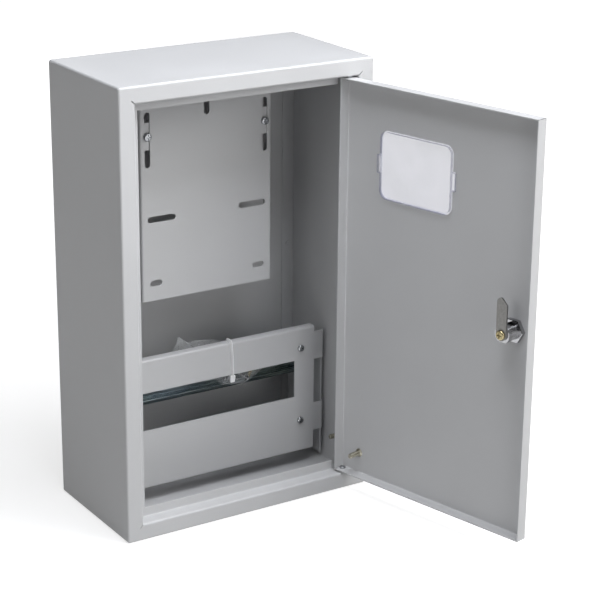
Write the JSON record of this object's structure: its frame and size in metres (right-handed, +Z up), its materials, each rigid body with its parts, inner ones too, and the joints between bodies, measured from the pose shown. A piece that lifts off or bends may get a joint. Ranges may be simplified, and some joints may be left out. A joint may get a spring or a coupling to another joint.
{
  "type": "metal electrical enclosure",
  "caption": "Wall-hung steel meter and distribution box: hinged door with clear reading window and cam lock, slotted meter panel, cover with module opening over a DIN rail.",
  "frame": {"origin": "centre of the four wall holes, on the outer face of the back sheet", "axes": "+X to the right seen from the front, +Y into the wall, +Z up; the front frame lies at Y = -0.16"},
  "size_m": [0.3465, 0.4082, 0.5],
  "materials": {
    "enclosure_paint": "light grey powder coat, fine texture, semi-matt",
    "rivet_metal": "plain rivet",
    "bright_zinc": "bright zinc plate",
    "rail_zinc": "passivated zinc plate",
    "lock_chrome": "bright chrome",
    "cam_zinc": "dull zinc",
    "yellow_zinc": "yellow passivated zinc",
    "clear_pane": "clear, slightly frosted",
    "tie_nylon": "white nylon",
    "bag_film": "clear film bag with small fittings"
  },
  "bodies": {
    "box": {"body_wrap": "enclosure_paint", "back_panel": "enclosure_paint", "meter_panel": "enclosure_paint", "breaker_cover": "enclosure_paint", "cover_bracket_left": "enclosure_paint", "cover_bracket_right": "enclosure_paint", "panel_standoff_left": "enclosure_paint", "panel_standoff_right": "enclosure_paint", "back_rivets": "rivet_metal", "hinge_pin_top": "bright_zinc", "hinge_pin_bottom": "bright_zinc", "box_earth_stud": "bright_zinc", "panel_screws": "bright_zinc", "cover_screws": "bright_zinc", "rail_screws": "bright_zinc", "din_rail": "rail_zinc", "cable_tie": "tie_nylon", "fittings_bag": "bag_film"},
    "door": {"door_leaf": "enclosure_paint", "window_pane": "clear_pane", "lock_housing": "lock_chrome", "lock_nut": "lock_chrome", "door_earth_stud": "bright_zinc"},
    "lock": {"lock_plug": "lock_chrome", "lock_cam": "cam_zinc", "cam_screw": "yellow_zinc"}
  },
  "joints": [
    {"name": "door_hinge", "type": "hinge", "parent": "box", "child": "door", "pos_m": [0.1267, -0.1537, 0], "axis": [0, 0, 1], "range_deg": [-103.4, 3]},
    {"name": "lock_turn", "type": "hinge", "parent": "door", "child": "lock", "pos_m": [0.16516, -0.38375, 0], "axis": [0.9728, 0.2317, 0], "range_deg": [0, 90]}
  ]
}
